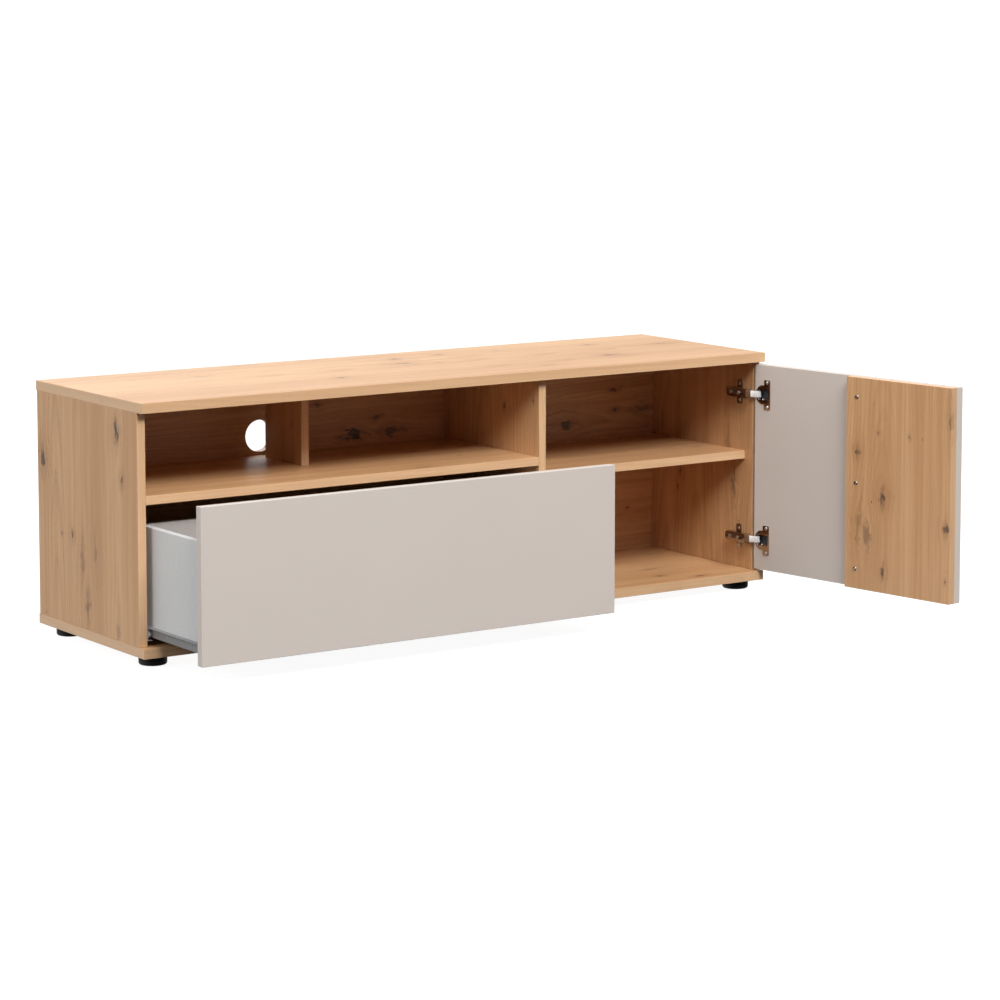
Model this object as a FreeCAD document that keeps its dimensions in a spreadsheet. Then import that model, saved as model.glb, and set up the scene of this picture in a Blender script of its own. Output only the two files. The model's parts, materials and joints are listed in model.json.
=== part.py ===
"""Low TV stand: an oak-look carcass with open niches, one grey drawer and one grey and oak door.

The front of the cabinet faces -Y, +X is to its right and +Z is up. The origin is on the floor,
under the centre of the carcass. All places are written in cabinet coordinates, in mm: x from the
left edge of the top panel, y from its front edge towards the back, z up from the underside of the
bottom panel. The drawer is modelled pulled out and the door open: that is where their joints read 0.
"""
import FreeCAD, Part
import Sketcher
import os
from types import SimpleNamespace

SIZES = {
    # carcass
    "width": 1360, "depth": 400, "inside_high": 408, "slab": 18, "board": 16,
    "side_setback": 17.5, "rear_setback": 3.5, "edge_soft": 0.5, "left_bay": 823,
    "shelf_low": 265, "back_front": 337, "partition_front": 172, "partition_deep": 130,
    "right_shelf_low": 234, "right_shelf_front": 40, "cable_hole": 60, "cable_hole_up": 316.5,
    # feet
    "foot_high": 18, "foot_wide": 52, "foot_round": 5, "foot_peg": 10, "foot_peg_long": 12,
    "foot_inset_x": 38, "foot_inset_front": 40, "foot_inset_rear": 48,
    # door
    "door_long": 501, "door_high": 400, "front_gap": 4, "door_reveal": 1, "door_swing": 98.5,
    "pivot_from_side": 6, "pivot_from_front": 6, "main_board_long": 296, "slat_wide": 36,
    "slat_gap": 5, "slat_count": 5, "oak_start": 248, "joint_screw_in": 25,
    "joint_screw_pitch": 163, "slat_dowel_inset": 60,
    # hinges
    "hinge_inset": 58, "cup_bore": 35, "cup_wide": 34.8, "cup_mouth": 32.8, "cup_deep": 11.5,
    "cup_hollow": 10.5, "cup_edge": 22.5, "rim_wide": 39, "flange_high": 58, "flange_wide": 16,
    "flange_thick": 1.2, "cup_screw_pitch": 48, "cup_screw_back": 9.5, "plate_setback": 37,
    "plate_thick": 2, "plate_high": 48, "plate_wide": 14, "plate_screw_pitch": 32,
    "rail_long": 36, "rail_wide": 10, "rail_deep": 7, "arm_wide": 13, "arm_deep": 10,
    "arm_wall": 1.3, "arm_nose": 12.5, "arm_long": 68, "web_long": 60, "link_rise": 6.5,
    "link_blade": 14.8, "link_bend": 82.4, "link_wide": 8, "link_thick": 2, "link_eye": 5,
    "link_bore": 2.6, "link_pin": 2.5, "link_pin_long": 19, "link_pin_in": 9.5, "link_pin_deep": 3.5,
    "link_gap": 1, "adjuster_apart": 24,
    # drawer
    "drawer_out": 200, "drawer_front_long": 853, "drawer_front_high": 271, "drawer_front_low": 21,
    "drawer_reveal": 2, "runner_gap": 12.5, "drawer_side_high": 191, "drawer_side_low": 33,
    "drawer_side_long": 253, "drawer_board": 12, "drawer_floor": 3, "groove_deep": 5,
    "groove_up": 12, "groove_high": 3.2, "groove_slack": 0.2, "corner_fixing_low": 50,
    "corner_fixing_high": 150, "dowel_into_front": 10,
    # runners
    "runner_long": 250, "metal": 1.2, "channel_low": 28, "channel_high": 25.2, "channel_wide": 9.5,
    "channel_lip": 5, "member_wing": 8.8, "member_high": 19.2, "roller_wide": 18,
    "roller_thick": 7, "roller_bore": 5.1, "axle_wide": 5, "axle_long": 9, "front_axle_in": 12,
    "front_axle_up": 40.5, "rear_axle_in": 10, "rear_axle_up": 38.5, "roller_gap": 2,
    "runner_start": 2, "runner_fixing_front": 50, "runner_fixing_rear": 200,
    # fasteners: shank, head and length, and where they go
    "dowel": 8, "dowel_long": 30, "slat_dowel_long": 20, "confirmat": 7, "confirmat_long": 47,
    "confirmat_head": 10, "wood_screw": 3.5, "wood_screw_long": 13, "wood_screw_head": 7,
    "joint_screw": 4, "joint_screw_long": 26, "joint_screw_head": 9, "corner_screw_long": 40,
    "shelf_pin": 5, "shelf_pin_long": 16, "head_thick": 1.5, "head_taper": 0.7, "adjuster": 5,
    "adjuster_head": 7, "adjuster_long": 8, "fixing_front": 60, "fixing_middle": 200,
    "fixing_rear": 340, "shelf_fixing_rear": 280, "partition_fixing": 30, "dowel_into_side": 5,
    "pin_into_board": 8, "pin_inset": 40,
}
S = SimpleNamespace(**SIZES)

doc = FreeCAD.newDocument("tv_stand")
sheet = doc.addObject("Spreadsheet::Sheet", "Sizes")
for row, (alias, value) in enumerate(SIZES.items(), start=1):
    sheet.set(f"A{row}", alias)
    sheet.set(f"B{row}", str(value))
    sheet.setAlias(f"B{row}", alias)
doc.recompute()

X, Y, Z = FreeCAD.Vector(1, 0, 0), FreeCAD.Vector(0, 1, 0), FreeCAD.Vector(0, 0, 1)
parts = []

# Stations that several sub-parts share, in cabinet coordinates
divider_left = S.board + S.left_bay
divider_right = divider_left + S.board
right_inside = S.width - S.board
bay_middle = S.board + S.left_bay / 2
ceiling = S.slab + S.inside_high
shelf_top = S.shelf_low + S.board
door_low = S.slab + S.front_gap
door_end = S.width - S.door_reveal
hinge_heights = {"lower": door_low + S.hinge_inset, "upper": door_low + S.door_high - S.hinge_inset}
cup_middle = door_end - S.cup_edge
arm_middle = cup_middle - S.link_eye / 2 - S.link_gap
bays = {"left": (S.board, 1), "right": (divider_left, -1)}
drawer_back_end = S.board + S.drawer_side_long


# ---- placing ----

def turned(axis, degrees):
    return FreeCAD.Placement(FreeCAD.Vector(), FreeCAD.Rotation(axis, degrees))


def shifted(x, y, z):
    return FreeCAD.Placement(FreeCAD.Vector(x, y, z), FreeCAD.Rotation())


def about(point, degrees):
    """A turn about the upright line through a point."""
    return shifted(*point).multiply(turned(Z, degrees)).multiply(shifted(*point).inverse())


CABINET = shifted(-S.width / 2, -S.depth / 2, S.foot_high)
DRAWER = CABINET.multiply(shifted(0, -S.drawer_out, 0))
PIVOT = FreeCAD.Vector(S.width - S.pivot_from_side, S.pivot_from_front, 0)
DOOR = CABINET.multiply(about(PIVOT, S.door_swing))
ALONG_X = turned(Y, 90)
ALONG_Y = turned(X, -90)
AGAINST_X = turned(Y, -90)
AGAINST_Y = turned(X, 90)


def put(piece, home, x, y, z, turn=None):
    """Place a piece by its own origin, in the cabinet coordinates of the body it belongs to."""
    placement = shifted(x, y, z)
    if turn:
        placement = placement.multiply(turn)
    piece.Placement = home.multiply(placement)


# ---- document helpers ----

def sized(text):
    """Turn bare size names into references to the sheet."""
    return " ".join(f"Sizes.{word}" if word in SIZES else word for word in text.split())


def bind(feature, **sizes):
    for name, text in sizes.items():
        feature.setExpression(name, sized(text))


def keep(piece, label):
    piece.Label = label
    parts.append(piece)
    return piece


def origin_sketch(body, role, lift=0):
    """A sketch on one of the body's own origin planes, lifted along the plane's normal."""
    support = [feature for feature in body.Origin.OriginFeatures if feature.Role == role][0]
    sketch = body.newObject("Sketcher::SketchObject", f"{body.Name}_sketch")
    sketch.AttachmentSupport = [(support, "")]
    sketch.MapMode = "FlatFace"
    sketch.AttachmentOffset = shifted(0, 0, lift)
    return sketch


def hold(sketch, name, text, *constraint):
    """Add a named dimension to a sketch and bind it to the sheet."""
    index = sketch.addConstraint(Sketcher.Constraint(*constraint))
    sketch.renameConstraint(index, name)
    sketch.setExpression(f"Constraints.{name}", sized(text))


def draw_rectangle(sketch, wide, high):
    """A rectangle with its first corner on the sketch's origin. Its dimensions set its real size."""
    first = 10
    outline = ((0, 0), (first, 0), (first, first), (0, first))
    corners = [FreeCAD.Vector(*corner, 0) for corner in outline]
    for start, end in zip(corners, corners[1:] + corners[:1]):
        sketch.addGeometry(Part.LineSegment(start, end), False)
    for side in range(4):
        sketch.addConstraint(Sketcher.Constraint("Coincident", side, 2, (side + 1) % 4, 1))
        sketch.addConstraint(Sketcher.Constraint("Vertical" if side % 2 else "Horizontal", side))
    sketch.addConstraint(Sketcher.Constraint("Coincident", 0, 1, -1, 1))
    hold(sketch, "wide", wide, "DistanceX", 0, 1, 0, 2, first)
    hold(sketch, "high", high, "DistanceY", 1, 1, 1, 2, first)


def draw_circle(sketch, across, up, diameter):
    """A circle whose dimensions set its real place and size."""
    first = 20
    round_line = Part.Circle(FreeCAD.Vector(first, first, 0), Z, first / 2)
    circle = sketch.addGeometry(round_line, False)
    hold(sketch, f"across{circle}", across, "DistanceX", -1, 1, circle, 3, first)
    hold(sketch, f"up{circle}", up, "DistanceY", -1, 1, circle, 3, first)
    hold(sketch, f"diameter{circle}", diameter, "Diameter", circle, first)


def padded(body, sketch, long):
    pad = body.newObject("PartDesign::Pad", f"{body.Name}_pad")
    pad.Profile = sketch
    bind(pad, Length=long)
    doc.recompute()
    return pad


def board(label, wide, deep, high):
    """A board drawn flat from its low corner, padded up, with all its edges softened."""
    body = doc.addObject("PartDesign::Body", label)
    sketch = origin_sketch(body, "XY_Plane")
    draw_rectangle(sketch, wide, deep)
    pad = padded(body, sketch, high)
    sketch.Visibility = False
    edges = body.newObject("PartDesign::Chamfer", f"{label}_edges")
    edges.Base = (pad, [f"Edge{number + 1}" for number in range(len(pad.Shape.Edges))])
    bind(edges, Size="edge_soft")
    doc.recompute()
    return keep(body, label)


def pocket(body, sketch, deep=None, backwards=False):
    """Cut a sketch out of a body, right through it where no depth is given."""
    volume = body.Shape.Volume
    cut = body.newObject("PartDesign::Pocket", f"{body.Name}_pocket")
    cut.Profile = sketch
    if deep:
        bind(cut, Length=deep)
    else:
        cut.Type = "ThroughAll"
    cut.Reversed = backwards
    doc.recompute()
    if body.Shape.Volume >= volume:
        raise RuntimeError(f"{body.Label}: a pocket cuts nothing")


def bar(name, wide, deep, high, place):
    piece = doc.addObject("Part::Box", name)
    bind(piece, Length=wide, Width=deep, Height=high)
    piece.Placement = shifted(*place)
    return piece


def rod(name, radius, long, place=(0, 0, 0), turn=None):
    piece = doc.addObject("Part::Cylinder", name)
    bind(piece, Radius=radius, Height=long)
    piece.Placement = shifted(*place).multiply(turn) if turn else shifted(*place)
    return piece


def fused(name, pieces):
    union = doc.addObject("Part::MultiFuse", name)
    union.Shapes = pieces
    return union


def cut_from(name, base, tool):
    rest = doc.addObject("Part::Cut", name)
    rest.Base = base
    rest.Tool = tool
    return rest


def group(label, pieces):
    """Identical fasteners in one node, as separate solids."""
    compound = doc.addObject("Part::Compound", label)
    compound.Links = pieces
    return keep(compound, label)


def screw(name, shank, long, head):
    """A screw along its own +Z, seated at its origin, with a domed head below."""
    body = rod(f"{name}_shank", f"{shank} / 2", long)
    dome = doc.addObject("Part::Cone", f"{name}_head")
    bind(dome, Radius1=f"{head} / 2 * head_taper", Radius2=f"{head} / 2", Height="head_thick")
    dome.Placement = shifted(0, 0, -S.head_thick)
    return fused(name, [body, dome])


def screws(label, seats, shank, long, head):
    """A group of equal screws. A seat is a home, a place and a turn."""
    pieces = []
    for number, (home, place, turn) in enumerate(seats, start=1):
        piece = screw(f"{label}_{number}", shank, long, head)
        put(piece, home, *place, turn)
        pieces.append(piece)
    return group(label, pieces)


def pegs(label, seats, diameter, long):
    """A group of equal plain pegs, each along its own +Z from its seat."""
    pieces = []
    for number, (home, place, turn) in enumerate(seats, start=1):
        piece = rod(f"{label}_{number}", f"{diameter} / 2", long)
        put(piece, home, *place, turn)
        pieces.append(piece)
    return group(label, pieces)


# ---- carcass ----

def make_carcass():
    deep_inside = "depth - side_setback - rear_setback"
    shelf_deep = "back_front - side_setback"
    right_bay = "width - 3 * board - left_bay"
    for label, z in (("bottom_panel", 0), ("top_panel", ceiling)):
        put(board(label, "width", "depth", "slab"), CABINET, 0, 0, z)
    uprights = {"left_side_panel": 0, "centre_divider": divider_left, "right_side_panel": right_inside}
    for label, x in uprights.items():
        put(board(label, "board", deep_inside, "inside_high"), CABINET, x, S.side_setback, S.slab)
    shelf = board("niche_shelf", "left_bay", shelf_deep, "board")
    put(shelf, CABINET, S.board, S.side_setback, S.shelf_low)
    partition_high = "slab + inside_high - shelf_low - board"
    partition = board("niche_partition", "board", "partition_deep", partition_high)
    put(partition, CABINET, bay_middle - S.board / 2, S.partition_front, shelf_top)
    shelf = board("right_shelf", right_bay, "back_front - right_shelf_front", "board")
    put(shelf, CABINET, divider_right, S.right_shelf_front, S.right_shelf_low)
    back = board("left_back_panel", "left_bay", "board", "inside_high")
    sketch = origin_sketch(back, "XZ_Plane")
    draw_circle(sketch, "left_bay / 2", "cable_hole_up - slab", "cable_hole")
    pocket(back, sketch)
    put(back, CABINET, S.board, S.back_front, S.slab)
    back = board("right_back_panel", right_bay, "board", "inside_high")
    put(back, CABINET, divider_right, S.back_front, S.slab)


def foot(label, x, y):
    """A round foot with a rounded sole and a peg on top that is pressed into the bottom panel."""
    body = doc.addObject("PartDesign::Body", label)
    disc = origin_sketch(body, "XY_Plane")
    draw_circle(disc, "0", "0", "foot_wide")
    pad = padded(body, disc, "foot_high")
    middle = S.foot_high / 2
    sole = [f"Edge{n}" for n, edge in enumerate(pad.Shape.Edges, start=1)
            if edge.BoundBox.ZMax < middle]
    rounding = body.newObject("PartDesign::Fillet", f"{label}_rounding")
    rounding.Base = (pad, sole)
    bind(rounding, Radius="foot_round")
    doc.recompute()
    end = origin_sketch(body, "XY_Plane", lift=S.foot_high)
    draw_circle(end, "0", "0", "foot_peg")
    padded(body, end, "foot_peg_long")
    put(keep(body, label), CABINET, x, y, -S.foot_high)


def make_feet():
    columns = {"left": S.foot_inset_x, "right": S.width - S.foot_inset_x}
    rows = {"front": S.foot_inset_front, "rear": S.depth - S.foot_inset_rear}
    for column, x in columns.items():
        for row_name, y in rows.items():
            foot(f"foot_{row_name}_{column}", x, y)
    foot("foot_middle", S.width / 2, S.depth / 2)


def make_carcass_fasteners():
    middles = (S.board / 2, divider_left + S.board / 2, S.width - S.board / 2)
    stations = (S.fixing_front, S.fixing_middle, S.fixing_rear)
    in_top = ceiling - S.dowel_long / 2
    seats = [(CABINET, (x, y, in_top), None) for x in middles for y in stations]
    partition_back = S.partition_front + S.partition_deep
    for y in (S.partition_front + S.partition_fixing, partition_back - S.partition_fixing):
        seats.append((CABINET, (bay_middle, y, in_top), None))
    left_end = S.dowel_into_side
    right_end = divider_right - S.dowel_into_side
    shelf_middle = S.shelf_low + S.board / 2
    for y in (S.fixing_front, S.shelf_fixing_rear):
        seats.append((CABINET, (left_end, y, shelf_middle), ALONG_X))
        seats.append((CABINET, (right_end, y, shelf_middle), AGAINST_X))
    pegs("carcass_dowels", seats, "dowel", "dowel_long")
    seats = [(CABINET, (x, y, S.head_thick), None) for x in middles for y in stations]
    screws("carcass_screws", seats, "confirmat", "confirmat_long", "confirmat_head")
    pin_low = S.right_shelf_low - S.shelf_pin / 2
    seats = []
    for y in (S.right_shelf_front + S.pin_inset, S.back_front - S.pin_inset):
        seats.append((CABINET, (divider_right - S.pin_into_board, y, pin_low), ALONG_X))
        seats.append((CABINET, (right_inside + S.pin_into_board, y, pin_low), AGAINST_X))
    pegs("shelf_pins", seats, "shelf_pin", "shelf_pin_long")


# ---- door ----

def door_board(label, start, wide_text, wide, inner=False):
    """A full-height layer of the door. It starts this far from the door's hinge end."""
    layer = board(label, wide_text, "board", "door_high")
    put(layer, DOOR, door_end - start - wide, S.board if inner else 0, door_low)
    return layer


def make_door():
    main = door_board("door_main_board", 0, "main_board_long", S.main_board_long)
    for height in ("hinge_inset", "door_high - hinge_inset"):
        sketch = origin_sketch(main, "XZ_Plane", lift=-S.board)
        draw_circle(sketch, "main_board_long - cup_edge", height, "cup_bore")
        pocket(main, sketch, "cup_deep", backwards=True)
    oak_long = S.door_long - S.oak_start
    door_board("door_oak_board", S.oak_start, "door_long - oak_start", oak_long, inner=True)
    dowel_seats = []
    low_dowel = door_low + S.slat_dowel_inset
    high_dowel = door_low + S.door_high - S.slat_dowel_inset
    for number in range(S.slat_count):
        start = S.main_board_long + S.slat_gap + number * (S.slat_wide + S.slat_gap)
        door_board(f"door_slat_{number + 1}", start, "slat_wide", S.slat_wide)
        for z in (low_dowel, high_dowel):
            x = door_end - start - S.slat_wide / 2
            dowel_seats.append((DOOR, (x, S.board - S.slat_dowel_long / 2, z), ALONG_Y))
    pegs("door_slat_dowels", dowel_seats, "dowel", "slat_dowel_long")
    screw_x = door_end - S.oak_start - S.joint_screw_in
    middle = door_low + S.door_high / 2
    heights = (middle - S.joint_screw_pitch, middle, middle + S.joint_screw_pitch)
    seats = [(DOOR, (screw_x, 2 * S.board, z), AGAINST_Y) for z in heights]
    screws("door_joint_screws", seats, "joint_screw", "joint_screw_long", "joint_screw_head")


# ---- hinges: the cup sits in the door, the arm on a plate on the side panel ----

def hinge_cup(label, z):
    """Its own +Z points out of the cup's mouth and its own +X to the hinge end of the door."""
    shell = rod(f"{label}_shell", "cup_wide / 2", "cup_deep", (0, 0, -S.cup_deep))
    rim = rod(f"{label}_rim", "rim_wide / 2", "flange_thick")
    flange_x = -S.cup_screw_back - S.flange_wide / 2
    flange = bar(f"{label}_flange", "flange_wide", "flange_high", "flange_thick",
                 (flange_x, -S.flange_high / 2, 0))
    solid = fused(f"{label}_solid", [shell, rim, flange])
    hollow_long = "cup_deep + flange_thick"
    hollow = rod(f"{label}_hollow", "cup_mouth / 2", hollow_long, (0, 0, -S.cup_hollow))
    bowl = cut_from(f"{label}_bowl", solid, hollow)
    pin_x = S.cup_edge - S.link_pin_in
    pin_place = (pin_x, -S.link_pin_long / 2, -S.link_pin_deep)
    pin = rod(f"{label}_pin", "link_pin / 2", "link_pin_long", pin_place, ALONG_Y)
    cup = keep(fused(label, [bowl, pin]), label)
    put(cup, DOOR, cup_middle, S.board, z, ALONG_Y)


def hinge_link(label, z):
    """A cranked link with an eye on the cup's pin. It rises out of the cup, then bends over its rim,
    and its far end swings between the cheeks of the arm."""
    half = S.link_thick / 2
    eye = rod(f"{label}_eye", "link_eye / 2", "link_wide")
    rise = bar(f"{label}_rise", "link_rise", "link_thick", "link_wide", (0, -half, 0))
    elbow = rod(f"{label}_elbow", "link_thick / 2", "link_wide", (S.link_rise, 0, 0))
    bend = shifted(S.link_rise, 0, 0).multiply(turned(Z, -S.link_bend))
    blade = bar(f"{label}_blade", "link_blade", "link_thick", "link_wide", (0, 0, 0))
    blade.Placement = bend.multiply(shifted(0, -half, 0))
    far_eye = rod(f"{label}_far_eye", "link_eye / 2", "link_wide")
    far_eye.Placement = bend.multiply(shifted(S.link_blade, 0, 0))
    solid = fused(f"{label}_solid", [eye, rise, elbow, blade, far_eye])
    bore = rod(f"{label}_bore", "link_bore / 2", "link_wide")
    link = keep(cut_from(label, solid, bore), label)
    pin_x = door_end - S.link_pin_in
    put(link, DOOR, pin_x, S.board - S.link_pin_deep, z - S.link_wide / 2, turned(Z, 90))


def hinge_plate(label, z):
    """A cross-shaped mounting plate with a raised rail, screwed flat to the side panel."""
    plate = bar(f"{label}_wings", "plate_thick", "plate_wide", "plate_high",
                (-S.plate_thick, -S.plate_wide / 2, -S.plate_high / 2))
    rail = bar(f"{label}_rail", "rail_deep", "rail_long", "rail_wide",
               (-S.plate_thick - S.rail_deep, -S.rail_long / 2, -S.rail_wide / 2))
    mount = keep(fused(label, [plate, rail]), label)
    put(mount, CABINET, right_inside, S.side_setback + S.plate_setback, z)


def hinge_arm(label, z):
    """A channel open towards the side panel: a web and two cheeks that straddle the rail."""
    web = bar(f"{label}_web", "arm_wall", "web_long", "arm_wide",
              (0, S.arm_long - S.web_long, -S.arm_wide / 2))
    cheeks = []
    for name, low in (("low", -S.arm_wide / 2), ("high", S.arm_wide / 2 - S.arm_wall)):
        cheeks.append(bar(f"{label}_cheek_{name}", "arm_deep", "arm_long", "arm_wall", (0, 0, low)))
    arm = keep(fused(label, [web] + cheeks), label)
    put(arm, CABINET, arm_middle - S.arm_deep / 2, S.arm_nose, z)


def make_hinges():
    plate_y = S.side_setback + S.plate_setback
    plate_seats, cup_seats, adjuster_seats = [], [], []
    web_face = arm_middle - S.arm_deep / 2
    for name, z in hinge_heights.items():
        hinge_cup(f"hinge_cup_{name}", z)
        hinge_link(f"hinge_link_{name}", z)
        hinge_plate(f"hinge_plate_{name}", z)
        hinge_arm(f"hinge_arm_{name}", z)
        for side in (-1, 1):
            plate_z = z + side * S.plate_screw_pitch / 2
            plate_seats.append((CABINET, (right_inside - S.plate_thick, plate_y, plate_z), ALONG_X))
            cup_place = (cup_middle - S.cup_screw_back, S.board + S.flange_thick,
                         z + side * S.cup_screw_pitch / 2)
            cup_seats.append((DOOR, cup_place, AGAINST_Y))
            adjuster_y = plate_y + side * S.adjuster_apart / 2
            adjuster_seats.append((CABINET, (web_face, adjuster_y, z), ALONG_X))
    sizes = ("wood_screw", "wood_screw_long", "wood_screw_head")
    screws("hinge_plate_screws", plate_seats, *sizes)
    screws("hinge_cup_screws", cup_seats, *sizes)
    screws("hinge_adjusters", adjuster_seats, "adjuster", "adjuster_long", "adjuster_head")


# ---- drawer ----

def make_drawer():
    front = board("drawer_front", "drawer_front_long", "board", "drawer_front_high")
    put(front, DRAWER, S.drawer_reveal, 0, S.drawer_front_low)
    side_x = {"left": S.board + S.runner_gap,
              "right": divider_left - S.runner_gap - S.drawer_board}
    for name, x in side_x.items():
        side = board(f"drawer_{name}_side", "drawer_board", "drawer_side_long", "drawer_side_high")
        groove = side.newObject("PartDesign::SubtractiveBox", f"groove_{name}")
        bind(groove, Length="groove_deep", Width="drawer_side_long", Height="groove_high")
        groove_x = S.drawer_board - S.groove_deep if name == "left" else 0
        groove.Placement = shifted(groove_x, 0, S.groove_up)
        put(side, DRAWER, x, S.board, S.drawer_side_low)
    inside = "left_bay - 2 * runner_gap - 2 * drawer_board"
    floor_up = S.drawer_side_low + S.groove_up
    back_high = "drawer_side_high - groove_up - groove_high"
    back = board("drawer_back", inside, "drawer_board", back_high)
    put(back, DRAWER, side_x["left"] + S.drawer_board, drawer_back_end - S.drawer_board,
        floor_up + S.groove_high)
    base = bar("drawer_floor_board", f"{inside} + 2 * groove_deep - 2 * groove_slack",
               "drawer_side_long", "drawer_floor", (0, 0, 0))
    base_x = side_x["left"] + S.drawer_board - S.groove_deep + S.groove_slack
    put(keep(base, "drawer_bottom"), DRAWER, base_x, S.board,
        floor_up + (S.groove_high - S.drawer_floor) / 2)
    dowel_seats, screw_seats = [], []
    for name, x in side_x.items():
        outer_x = x if name == "left" else x + S.drawer_board
        turn = ALONG_X if name == "left" else AGAINST_X
        sunk = S.head_thick if name == "left" else -S.head_thick
        for up in (S.corner_fixing_low, S.corner_fixing_high):
            z = S.drawer_side_low + up
            dowel_place = (x + S.drawer_board / 2, S.board - S.dowel_into_front, z)
            dowel_seats.append((DRAWER, dowel_place, ALONG_Y))
            place = (outer_x + sunk, drawer_back_end - S.drawer_board / 2, z)
            screw_seats.append((DRAWER, place, turn))
    pegs("drawer_dowels", dowel_seats, "dowel", "dowel_long")
    screws("drawer_screws", screw_seats, "wood_screw", "corner_screw_long", "wood_screw_head")


# ---- runners: a channel on the cabinet and a member on the drawer, a roller on each ----

def handed(hand, x, wide):
    """The low x of a piece that starts x away from the bay's wall, on either hand."""
    return x if hand > 0 else -x - wide


def cabinet_runner(label, hand, wall):
    low_flange = bar(f"{label}_flange", "channel_wide", "runner_long", "metal",
                     (handed(hand, 0, S.channel_wide), 0, 0))
    web = bar(f"{label}_web", "metal", "runner_long", "channel_high",
              (handed(hand, 0, S.metal), 0, 0))
    lip = bar(f"{label}_lip", "channel_lip", "runner_long", "metal",
              (handed(hand, 0, S.channel_lip), 0, S.channel_high - S.metal))
    turn = ALONG_X if hand > 0 else AGAINST_X
    axle = rod(f"{label}_axle", "axle_wide / 2", "axle_long",
               (hand * S.metal / 2, S.front_axle_in, S.front_axle_up - S.channel_low), turn)
    runner = keep(fused(label, [low_flange, web, lip, axle]), label)
    put(runner, CABINET, wall, S.side_setback, S.channel_low)


def drawer_runner(label, hand, wall):
    """Its wing rides on the cabinet's roller and its foot wraps under the drawer side."""
    web_x = S.runner_gap - S.metal
    web = bar(f"{label}_web", "metal", "runner_long", "member_high",
              (handed(hand, web_x, S.metal), 0, 0))
    wing = bar(f"{label}_wing", "member_wing", "runner_long", "metal",
               (handed(hand, web_x - S.member_wing, S.member_wing), 0, S.member_high - S.metal))
    base = bar(f"{label}_foot", "metal + drawer_board", "runner_long", "metal",
               (handed(hand, web_x, S.metal + S.drawer_board), 0, 0))
    turn = AGAINST_X if hand > 0 else ALONG_X
    low = S.drawer_side_low - S.metal
    axle_y = S.runner_long - S.rear_axle_in
    axle = rod(f"{label}_axle", "axle_wide / 2", "axle_long",
               (hand * (web_x + S.metal / 2), axle_y, S.rear_axle_up - low), turn)
    runner = keep(fused(label, [web, wing, base, axle]), label)
    put(runner, DRAWER, wall, S.board + S.runner_start, low)


def roller(label, hand, home, wall, y, z):
    wheel = rod(f"{label}_wheel", "roller_wide / 2", "roller_thick")
    bore = rod(f"{label}_bore", "roller_bore / 2", "roller_thick")
    ring = keep(cut_from(label, wheel, bore), label)
    start = S.metal + S.roller_gap
    put(ring, home, wall + handed(hand, start, S.roller_thick), y, z, ALONG_X)


def make_runners():
    seats = []
    for name, (wall, hand) in bays.items():
        cabinet_runner(f"cabinet_runner_{name}", hand, wall)
        drawer_runner(f"drawer_runner_{name}", hand, wall)
        front_y = S.side_setback + S.front_axle_in
        roller(f"front_roller_{name}", hand, CABINET, wall, front_y, S.front_axle_up)
        rear_y = S.board + S.runner_start + S.runner_long - S.rear_axle_in
        roller(f"rear_roller_{name}", hand, DRAWER, wall, rear_y, S.rear_axle_up)
        turn = AGAINST_X if hand > 0 else ALONG_X
        for deep in (S.runner_fixing_front, S.runner_fixing_rear):
            place = (wall + hand * S.metal, S.side_setback + deep, S.front_axle_up)
            seats.append((CABINET, place, turn))
    screws("runner_screws", seats, "wood_screw", "wood_screw_long", "wood_screw_head")


make_carcass()
make_feet()
make_carcass_fasteners()
make_door()
make_hinges()
make_drawer()
make_runners()
doc.recompute()

for item in doc.Objects:
    if "Invalid" in item.State or "Error" in item.State:
        raise RuntimeError(f"{item.Label} failed: {item.State}")
for piece in parts:
    if piece.Shape.isNull() or not piece.Shape.isValid():
        raise RuntimeError(f"{piece.Label} has no valid shape")

os.makedirs("parts", exist_ok=True)
for piece in parts:
    piece.Shape.exportStep(f"parts/{piece.Label}.step")
print(len(parts), "sub-parts written")
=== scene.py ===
"""Looks of the low TV stand: oak-look boards, grey fronts, plated hinges and grey drawer runners.

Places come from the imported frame, in metres. The detailed pieces are drawn in millimetres.
"""
import json
import math
import random

import bmesh
import bpy
from mathutils import Matrix, Vector


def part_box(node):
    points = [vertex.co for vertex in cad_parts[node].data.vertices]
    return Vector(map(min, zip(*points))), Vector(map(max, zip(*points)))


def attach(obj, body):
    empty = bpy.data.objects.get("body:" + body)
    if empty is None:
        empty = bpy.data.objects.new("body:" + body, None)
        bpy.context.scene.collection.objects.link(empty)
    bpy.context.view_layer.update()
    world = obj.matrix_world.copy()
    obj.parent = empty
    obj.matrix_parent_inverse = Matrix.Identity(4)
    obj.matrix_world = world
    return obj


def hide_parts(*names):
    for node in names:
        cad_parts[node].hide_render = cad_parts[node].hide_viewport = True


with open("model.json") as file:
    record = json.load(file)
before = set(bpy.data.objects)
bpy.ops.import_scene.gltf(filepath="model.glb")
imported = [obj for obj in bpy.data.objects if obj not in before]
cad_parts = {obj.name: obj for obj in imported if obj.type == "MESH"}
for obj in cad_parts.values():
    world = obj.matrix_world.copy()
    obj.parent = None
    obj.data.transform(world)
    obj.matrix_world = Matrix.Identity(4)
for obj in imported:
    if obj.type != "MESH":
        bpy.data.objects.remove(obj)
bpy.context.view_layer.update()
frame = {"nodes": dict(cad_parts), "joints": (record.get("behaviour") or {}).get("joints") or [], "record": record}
NODES = frame["nodes"]
JOINTS = {joint["name"]: joint for joint in frame["joints"]}
BODY_OF = {node: body for body, members in frame["record"]["behaviour"]["bodies"].items() for node in members}
SLOT_OF = {part["node"]: part["material_slot"] for part in frame["record"]["subparts"]}
MM = 0.001
TOUCHING = 1e-6
SHARP_ANGLE = math.radians(35)

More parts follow.
